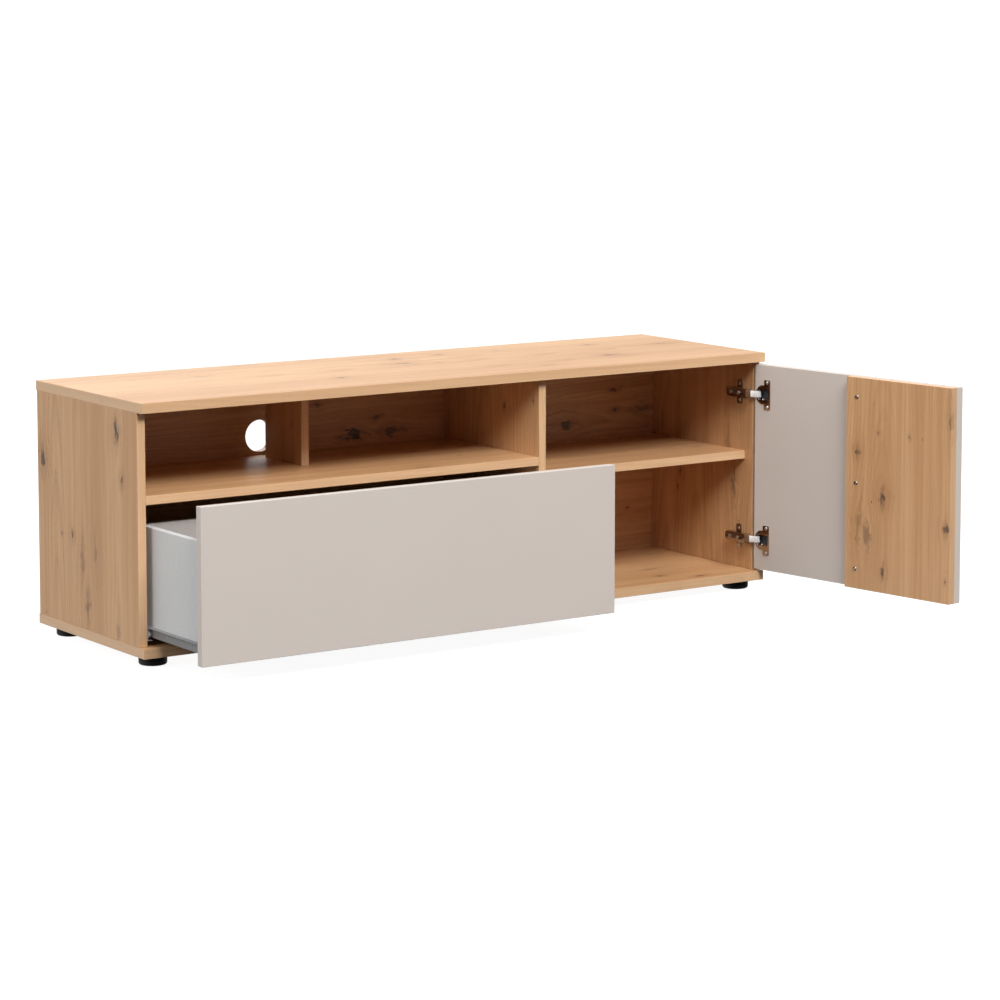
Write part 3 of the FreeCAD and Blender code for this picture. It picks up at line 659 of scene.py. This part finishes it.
def cut(made, tools):
    """Take the tools out of a bmesh and give the rest back as a new one."""
    scene = bpy.context.scene
    holders = []
    for index, source in enumerate((made, tools)):
        mesh = bpy.data.meshes.new(f"cut_{index}")
        bmesh.ops.recalc_face_normals(source, faces=source.faces)
        source.to_mesh(mesh)
        source.free()
        holder = bpy.data.objects.new(f"cut_{index}", mesh)
        scene.collection.objects.link(holder)
        holders.append(holder)
    change = holders[0].modifiers.new("cut", "BOOLEAN")
    change.object = holders[1]
    change.operation = "DIFFERENCE"
    change.solver = "EXACT"
    done = bmesh.new()
    bpy.context.view_layer.update()
    done.from_object(holders[0], bpy.context.evaluated_depsgraph_get())
    for holder in holders:
        mesh = holder.data
        bpy.data.objects.remove(holder)
        bpy.data.meshes.remove(mesh)
    bmesh.ops.remove_doubles(done, verts=done.verts, dist=WELD_MM)
    bmesh.ops.dissolve_degenerate(done, edges=done.edges, dist=WELD_MM)
    return done


def at(x, y, z):
    return Matrix.Translation((x, y, z))


def cross(size, wide, low, high):
    """The recess of a cross-slot screw, as a solid. One arm is a little taller, so that no faces coincide."""
    curve = wide * 0.6
    arm = slab(rounded(-size, -wide, size, wide, curve), low, high)
    other = slab(rounded(-wide, -size, wide, size, curve), low - 0.013, high + 0.017)
    return merged((arm, STRAIGHT), (other, STRAIGHT))


THREAD_PITCH = 1.6
# Radii as shares of the shank's diameter
THREAD_ROOT, THREAD_CREST, TIP = 0.40, 0.5, 0.36


def screw_shape(head, head_high, shank, long, dome):
    """A screw along +z, its head's underside at z 0 and the head below, with a cross recess."""
    half = head / 2
    if dome:
        crown = [(half * math.sin(math.radians(a)), -head_high * math.cos(math.radians(a)))
                 for a in (12, 24, 36, 48, 60, 72, 84)]
        profile = [(0, -head_high)] + crown + [(half, 0)]
    else:
        profile = [(0, -head_high), (half * 0.86, -head_high), (half, -head_high * 0.82), (half, 0)]
    profile += [(shank * THREAD_CREST, 0.02)]
    for turn in range(int((long - 3) / THREAD_PITCH)):
        up = 0.6 + THREAD_PITCH * turn
        profile += [(shank * THREAD_ROOT, up), (shank * THREAD_CREST, up + 0.55),
                    (shank * THREAD_CREST, up + 0.75), (shank * THREAD_ROOT, up + 1.3)]
    profile += [(shank * TIP, long - 2.2), (0, long)]
    return cut(lathe(profile, 32), cross(half * 0.55, half * 0.13, -head_high - 0.5, -head_high * 0.35))


# Turns that take a shape's own z to a direction
TO = {"+x": Matrix.Rotation(math.radians(90), 4, "Y"), "-x": Matrix.Rotation(math.radians(-90), 4, "Y"),
      "+y": Matrix.Rotation(math.radians(-90), 4, "X"), "-y": Matrix.Rotation(math.radians(90), 4, "X")}
# A shape's own (x, y, z) to (y, z, x) of the cabinet, and its y and z exchanged
FLAT_ON_SIDE = Matrix(((0, 0, 1, 0), (1, 0, 0, 0), (0, 1, 0, 0), (0, 0, 0, 1)))
SWAP_YZ = Matrix(((1, 0, 0, 0), (0, 0, 1, 0), (0, 1, 0, 0), (0, 0, 0, 1)))


def islands(node, home=STRAIGHT):
    """The boxes of a node's separate solids, in the home's own coordinates."""
    made = bmesh.new()
    made.from_mesh(NODES[node].data)
    bmesh.ops.remove_doubles(made, verts=made.verts, dist=TOUCHING)
    back = home.inverted()
    left, boxes = set(made.verts), []
    while left:
        stack, seen = [left.pop()], []
        while stack:
            vertex = stack.pop()
            seen.append(back @ vertex.co)
            for edge in vertex.link_edges:
                other = edge.other_vert(vertex)
                if other in left:
                    left.remove(other)
                    stack.append(other)
        boxes.append(box_of(seen))
    made.free()
    return sorted(boxes, key=lambda box: tuple(round(value, 5) for value in box[0]))


HEAD_HIGH = 1.5
# How far each screw's slot is turned, in degrees
FIRST_TURN, NEXT_TURN = 17, 37


def set_screws(node, home, directions, head, shank, material, dome=True):
    """Draw each screw of a node in detail. directions gives the way its tip points, low side of x first."""
    shapes = []
    for number, (low, high) in enumerate(islands(node, home)):
        seat = middle_of((low, high)) / MM
        direction = directions[0] if seat.x < 0 else directions[-1]
        axis = "xyz".index(direction[1])
        long = (high - low)[axis] / MM - HEAD_HIGH
        seat[axis] = low[axis] / MM + HEAD_HIGH if direction[0] == "+" else high[axis] / MM - HEAD_HIGH
        spin = Matrix.Rotation(math.radians(FIRST_TURN + NEXT_TURN * number), 4, "Z")
        shapes.append((screw_shape(head, HEAD_HIGH, shank, long, dome),
                       Matrix.Translation(seat) @ TO[direction] @ spin))
    return new_piece("seen_" + node, merged(*shapes), material, BODY_OF[node], home, (node,))


set_screws("door_joint_screws", DOOR_OPEN, ("-y",), 9, 4, PLATED)
set_screws("hinge_cup_screws", DOOR_OPEN, ("-y",), 7, 3.5, ZINC)
set_screws("hinge_plate_screws", STRAIGHT, ("+x",), 7, 3.5, ZINC)
set_screws("hinge_adjusters", STRAIGHT, ("+x",), 7, 5, ZINC, dome=False)


# ---- feet and rollers ----

PEG_RADIUS, PEG_LONG = 5.0, 12.0
ROLLER_BORE, ROLLER_HUB, ROLLER_WEB, ROLLER_BEVEL, ROLLER_HOLLOW = 2.55, 3.6, 6.0, 0.6, 0.5


def make_feet():
    """Round feet with a grooved rim, a slightly sunken sole and a peg in the bottom panel."""
    for node in [name for name in NODES if name.startswith("foot_")]:
        low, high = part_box(node)
        wide, panel = (high - low).x / 2 / MM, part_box("bottom_panel")[0].z / MM
        profile = [(0, 0.9), (wide * 0.62, 0.9), (wide * 0.66, 0.0), (wide - 5.2, 0.0), (wide - 3.2, 0.55),
                   (wide - 1.5, 2.1), (wide - 0.9, 4.2), (wide - 0.9, 10.2), (wide - 1.7, 10.6),
                   (wide - 1.7, 11.4), (wide - 0.9, 11.8), (wide - 0.6, 12.2), (wide, 12.8),
                   (wide, panel - 0.6), (wide - 0.5, panel), (PEG_RADIUS, panel),
                   (PEG_RADIUS, panel + PEG_LONG - 1.0), (PEG_RADIUS - 0.8, panel + PEG_LONG),
                   (0, panel + PEG_LONG)]
        centre = middle_of((low, high))
        new_piece("seen_" + node, lathe(profile, 72), BLACK, "cabinet",
                  Matrix.Translation((centre.x, centre.y, low.z)), (node,))


def make_rollers():
    """Rollers with a bevelled tread and a shallow ring sunk in both faces."""
    for node in [name for name in NODES if "_roller_" in name]:
        low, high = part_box(node)
        centre, half = middle_of((low, high)), (high - low).x / 2 / MM
        rim = (high - low).z / 2 / MM
        side = [(rim, half - ROLLER_BEVEL), (rim - ROLLER_BEVEL, half), (ROLLER_WEB, half),
                (ROLLER_WEB - 0.4, half - ROLLER_HOLLOW), (ROLLER_HUB + 0.3, half - ROLLER_HOLLOW),
                (ROLLER_HUB, half), (ROLLER_BORE, half)]
        profile = [(radius, -up) for radius, up in reversed(side)] + side + [(ROLLER_BORE, -half)]
        new_piece("seen_" + node, lathe(profile, 56), NYLON, node,
                  Matrix.Translation(centre) @ TO["+x"], (node,))


make_feet()
make_rollers()


# ---- runners: folded sheet with rounded bends, holes and an axle ----

SHEET, BEND = 1.2, 1.1
SKIN = SHEET / 2
AXLE_RADIUS = 2.5
BEND_STEPS = 5


def fold(path, long):
    """A folded sheet: a path of (x, z) points on its middle line, run along y from 0."""
    line = [path[0]]
    for before, here, after in zip(path, path[1:], path[2:]):
        a = Vector(before) - Vector(here)
        b = Vector(after) - Vector(here)
        start, end = Vector(here) + a.normalized() * BEND, Vector(here) + b.normalized() * BEND
        for step in range(BEND_STEPS + 1):
            t = step / BEND_STEPS
            point = start * (1 - t) ** 2 + Vector(here) * 2 * t * (1 - t) + end * t ** 2
            line.append((point.x, point.y))
    line.append(path[-1])
    near, far = [], []
    for index, point in enumerate(line):
        ahead = Vector(line[min(index + 1, len(line) - 1)]) - Vector(line[max(index - 1, 0)])
        side = Vector((-ahead.y, ahead.x)).normalized() * SHEET / 2
        near.append((point[0] + side.x, point[1] + side.y))
        far.append((point[0] - side.x, point[1] - side.y))
    made = slab(near + far[::-1], 0, long)
    made.transform(SWAP_YZ)
    return made


def make_runner(node, hand, path, axle, holes):
    """One runner in detail. hand is +1 on the left wall; path is drawn for it and mirrored on the right.
    axle is (start x, end x, y, z, length of its riveted head), and a hole is (y, z, radius)."""
    low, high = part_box(node)
    corner = Vector((low.x if hand > 0 else high.x, low.y, low.z))
    drills = [(lathe([(0, -3), (radius, -3), (radius, 3), (0, 3)], 24), at(path[1][0], y, z) @ TO["+x"])
              for y, z, radius in holes]
    sheet = cut(fold(path, (high - low).y / MM), merged(*drills))
    start, end, y, z, rivet = axle
    long = abs(end - start)
    pin = lathe([(0, 0), (AXLE_RADIUS, 0), (AXLE_RADIUS, long - rivet), (AXLE_RADIUS + 0.6, long - rivet),
                 (AXLE_RADIUS + 0.7, long - rivet * 0.4), (AXLE_RADIUS + 0.4, long), (0, long)], 32)
    turn = at(start, y, z) @ TO["+x" if end > start else "-x"]
    mirror = Matrix.Scale(-1, 4, (1, 0, 0)) if hand < 0 else STRAIGHT
    new_piece("seen_" + node, merged((sheet, STRAIGHT), (pin, turn)), RUNNER, BODY_OF[node],
              Matrix.Translation(corner) @ mirror, (node,))


def make_runners():
    for side, hand in (("left", 1), ("right", -1)):
        node = "cabinet_runner_" + side
        low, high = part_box(node)
        tall = (high - low).z / MM
        path = [(9.5, SKIN), (SKIN, SKIN), (SKIN, tall - SKIN), (5.0, tall - SKIN)]
        holes = [(125.0, 12.5, 3.0), (225.0, 12.5, 3.0), (90.0, 12.5, 2.2)]
        make_runner(node, hand, path, (SKIN, 10.7, 12.0, 12.5, 0.45), holes)
        node = "drawer_runner_" + side
        low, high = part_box(node)
        tall = (high - low).z / MM
        wing = 9.4
        path = [(0.0, tall - SKIN), (wing, tall - SKIN), (wing, SKIN), (22.0, SKIN)]
        holes = [(60.0, 9.5, 2.2), (150.0, 9.5, 2.2)]
        make_runner(node, hand, path, (wing, 0.4, 240.0, 6.7, 0.28), holes)
    set_screws("runner_screws", STRAIGHT, ("-x", "+x"), 7, 3.5, ZINC)


make_runners()


# ---- hinges ----

FLANGE, FLANGE_RIM, EAR_HALF = 1.2, 19.5, 18.6
BOWL_OUT, BOWL_IN, BOWL_DEEP = 17.4, 16.4, 11.4
CUP_PIN = 1.25


def make_cup(node):
    """The cup of a concealed hinge: a drawn bowl with a flange, a pin and a dark lining.
    Drawn with its mouth along z and its hinge end along x."""
    low, high = closed_box(node)
    centre, face = middle_of((low, high)), high.y - FLANGE * MM
    rim = arc(0, 0, FLANGE_RIM, -72, 72, 18)
    flange = rim[:-1] + [(6.0, EAR_HALF), (-1.6, EAR_HALF)] + arc(-3.1, 27.5, 1.5, 0, 90, 4)
    flange += arc(-15.9, 27.4, 1.6, 90, 180, 4) + arc(-15.9, -27.4, 1.6, 180, 270, 4)
    flange += arc(-3.1, -27.5, 1.5, -90, 0, 4) + [(-1.6, -EAR_HALF), (6.0, -EAR_HALF)]
    mouth = slab(rounded(-13.6, -10.2, 15.4, 10.2, 3.0), -1, 2)
    plate = cut(slab(flange, 0, FLANGE, edge=0.25), mouth)
    bowl = lathe([(0, -BOWL_DEEP), (14.6, -BOWL_DEEP), (16.6, -10.4), (BOWL_OUT, -8.2), (BOWL_OUT, 0.2),
                  (BOWL_IN, 0.2), (BOWL_IN, -7.8), (15.9, -9.4), (14.2, -10.4), (0, -10.4)], 64)
    ribs = [(slab(rounded(-12.6, side * 14.6 - 1.6, -1.4, side * 14.6 + 1.6, 1.2), 0.3, 1.05, edge=0.2),
             STRAIGHT) for side in (-1, 1)]
    pin = lathe([(0, -9.4), (CUP_PIN, -9.4), (CUP_PIN, 9.4), (0, 9.4)], 24)
    whole = merged((plate, STRAIGHT), (bowl, STRAIGHT), (pin, at(13.0, 0, -3.5) @ TO["+y"]), *ribs)
    place = DOOR_OPEN @ Matrix.Translation((centre.x, face, centre.z)) @ TO["+y"]
    new_piece("seen_" + node, whole, PLATED, "door", place, (node,))
    liner = slab(rounded(-12.0, -9.4, 12.0, 9.4, 4.0), -10.6, -9.3, edge=0.4)
    posts = [(slab(rounded(-11.0, side * 11.9 - 1.5, 4.0, side * 11.9 + 1.5, 1.3), -9.6, -1.2, edge=0.4),
              STRAIGHT) for side in (-1, 1)]
    block = merged((liner, STRAIGHT), *posts)
    new_piece("damper_" + node, block, DARK_PLASTIC, "door", place)


def make_plate(node):
    """The cross-shaped mounting plate. Drawn with z along x towards the side panel."""
    low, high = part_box(node)
    centre = middle_of((low, high))
    wings = slab(rounded(-7.0, -24.0, 9.0, 24.0, 4.0), -2.0, 0.0, edge=0.4)
    pads = slab(rounded(-5.2, -22.6, 4.0, 22.6, 3.6), -2.5, -1.9, edge=0.2)
    rail = slab(rounded(-18.0, -5.0, 18.0, 5.0, 2.2), -9.0, -1.0, edge=0.5)
    whole = merged((wings, STRAIGHT), (pads, STRAIGHT), (rail, STRAIGHT))
    place = Matrix.Translation((high.x, centre.y, centre.z)) @ FLAT_ON_SIDE
    new_piece("seen_" + node, whole, PLATED, "cabinet", place, (node,))


# How much taller the arms (mm a side) and links (a factor) are drawn than packed
ARM_FLARE = 2.6
LINK_TALLER = 1.5
CREASE = math.radians(50)
ARM_SHEET = 1.3
ARM_NOSE, ARM_CORNER = 8.0, 5.0


def make_link(node):
    """The cranked link between cup and arm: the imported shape, taller and with softened edges."""
    low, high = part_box(node)
    middle = middle_of((low, high)).z
    made = bmesh.new()
    made.from_mesh(NODES[node].data)
    bmesh.ops.remove_doubles(made, verts=made.verts, dist=TOUCHING)
    for vertex in made.verts:
        vertex.co.z = middle + (vertex.co.z - middle) * LINK_TALLER
    made.transform(Matrix.Scale(1 / MM, 4))
    sharp = [edge for edge in made.edges if len(edge.link_faces) == 2 and edge.calc_face_angle() > CREASE]
    bmesh.ops.bevel(made, geom=sharp, offset=0.25, segments=2, affect="EDGES", profile=0.5)
    new_piece("seen_" + node, made, BRIGHT, node, STRAIGHT, (node,))


def make_arm(node):
    """The arm: a pressed channel with a rounded back, a waist and a nose whose cheeks hold the link."""
    low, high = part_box(node)
    centre = middle_of((low, high))
    long = (high - low).y / MM
    half = (high - low).z / 2 / MM + ARM_FLARE
    deep = (high - low).x / MM
    back, turn = long - ARM_CORNER, half - ARM_CORNER - 1.0
    outline = [(ARM_NOSE, -half), (ARM_NOSE + 4, -half + 1.0)]
    outline += arc(back, -turn, ARM_CORNER, -90, 0, 6) + arc(back, turn, ARM_CORNER, 0, 90, 6)
    outline += [(ARM_NOSE + 4, half - 1.0), (ARM_NOSE, half)]
    holes = [(slab(rounded(long - 22.0, -2.6, long - 11.0, 2.6, 2.5), -1, 3), STRAIGHT),
             (slab(rounded(17.0, -1.8, 24.0, 1.8, 1.7), -1, 3), STRAIGHT)]
    shapes = [(cut(slab(outline, 0.0, ARM_SHEET, edge=0.3), merged(*holes)), STRAIGHT)]
    skin = ARM_SHEET / 2
    for side in (-1, 1):
        wall = slab(rounded(0.0, 0.3, long - 3.0, deep, 3.4), -skin, skin, edge=0.25)
        shapes.append((wall, at(0, side * (half - skin), 0) @ TO["-y"]))
    place = Matrix.Translation((low.x, low.y, centre.z)) @ FLAT_ON_SIDE
    new_piece("seen_" + node, merged(*shapes), PLATED, "cabinet", place, (node,))


for level in ("lower", "upper"):
    make_cup("hinge_cup_" + level)
    make_plate("hinge_plate_" + level)
    make_arm("hinge_arm_" + level)
    make_link("hinge_link_" + level)


# ---- floor, light and camera ----

FLOOR_REACH = 400.0
FLOOR_GLOW = 0.93


def make_floor():
    """A wide pale floor that shows soft shadows but throws no light back up into the open cupboards."""
    reach = FLOOR_REACH
    mesh = bpy.data.meshes.new("floor")
    mesh.from_pydata([(-reach, -reach, 0), (reach, -reach, 0), (reach, reach, 0), (-reach, reach, 0)], [],
                     [(0, 1, 2, 3)])
    floor = bpy.data.objects.new("floor", mesh)
    bpy.context.scene.collection.objects.link(floor)
    floor.location.z = -0.0005
    material, net = blank("pale_floor")
    place = net.here()
    grit = net.noise(place, 12.0, detail=4.0)
    tone = net.mix(grit, rgba((0.20, 0.20, 0.20)), rgba((0.24, 0.24, 0.24)))
    surface((material, net), tone, net.math("MULTIPLY_ADD", grit, 0.1, 0.85), grit, depth=0.0001,
            strength=1.0, Emission_Strength=FLOOR_GLOW, Specular_IOR_Level=0.0)
    material.node_tree.nodes["Principled BSDF"].inputs["Emission Color"].default_value = (1, 1, 1, 1)
    mesh.materials.append(material)
    floor.visible_diffuse = False
    floor.visible_glossy = False


def softbox(name, place, aim, wide, high, power):
    """A soft rectangular lamp, turned to its aim. power is in watts."""
    data = bpy.data.lights.new(name, "AREA")
    data.shape = "RECTANGLE"
    data.size, data.size_y = wide, high
    data.energy = power
    lamp = bpy.data.objects.new(name, data)
    bpy.context.scene.collection.objects.link(lamp)
    lamp.location = place
    lamp.rotation_mode = "QUATERNION"
    lamp.rotation_quaternion = (Vector(aim) - Vector(place)).to_track_quat("-Z", "Y")


def make_world():
    """A pale studio: brighter above and behind, dim low in front, so that the niches stay deep."""
    world = bpy.data.worlds.new("studio")
    bpy.context.scene.world = world
    world.use_nodes = True
    net = Net(world.node_tree)
    _, depth, height = net.apart(net.vector("NORMALIZE", net.here("Generated")))
    behind = net.spread(depth, -0.35, 0.55, 0.06, 0.50)
    above = net.spread(height, 0.15, 0.95, 0.0, 0.60)
    strength = net.math("ADD", behind, above)
    world.node_tree.nodes["Background"].inputs["Color"].default_value = (1.0, 0.99, 0.98, 1.0)
    net.feed(world.node_tree.nodes["Background"].inputs["Strength"], strength)


VIEW_YAW, VIEW_PITCH = math.radians(34.29), math.radians(6.51)
VIEW_FROM = (-3.370, -5.230, 1.2016)
LENS, SENSOR, SHIFT_UP = 120.8, 36.0, -0.15


def make_camera():
    yaw, pitch = VIEW_YAW, VIEW_PITCH
    ahead = Vector((math.sin(yaw) * math.cos(pitch), math.cos(yaw) * math.cos(pitch), -math.sin(pitch)))
    data = bpy.data.cameras.new("camera")
    data.sensor_width = SENSOR
    data.lens = LENS
    data.shift_y = SHIFT_UP
    data.clip_end = 1000.0
    camera = bpy.data.objects.new("camera", data)
    bpy.context.scene.collection.objects.link(camera)
    camera.location = VIEW_FROM
    camera.rotation_mode = "QUATERNION"
    camera.rotation_quaternion = ahead.to_track_quat("-Z", "Y")
    bpy.context.scene.camera = camera


make_floor()
softbox("key", (-1.2, -8.6, 8.2), (0.0, -0.2, 0.2), 6.0, 3.6, 1390.0)
softbox("left", (-11.0, -2.6, 5.0), (0.0, 0.0, 0.2), 5.0, 4.4, 470.0)
softbox("right", (9.5, -4.4, 6.4), (0.3, 0.0, 0.2), 4.5, 4.0, 170.0)
softbox("rear", (2.4, 9.6, 7.6), (0.0, 0.0, 0.2), 6.0, 4.2, 340.0)
make_world()
make_camera()
bpy.context.scene.view_settings.view_transform = "Standard"
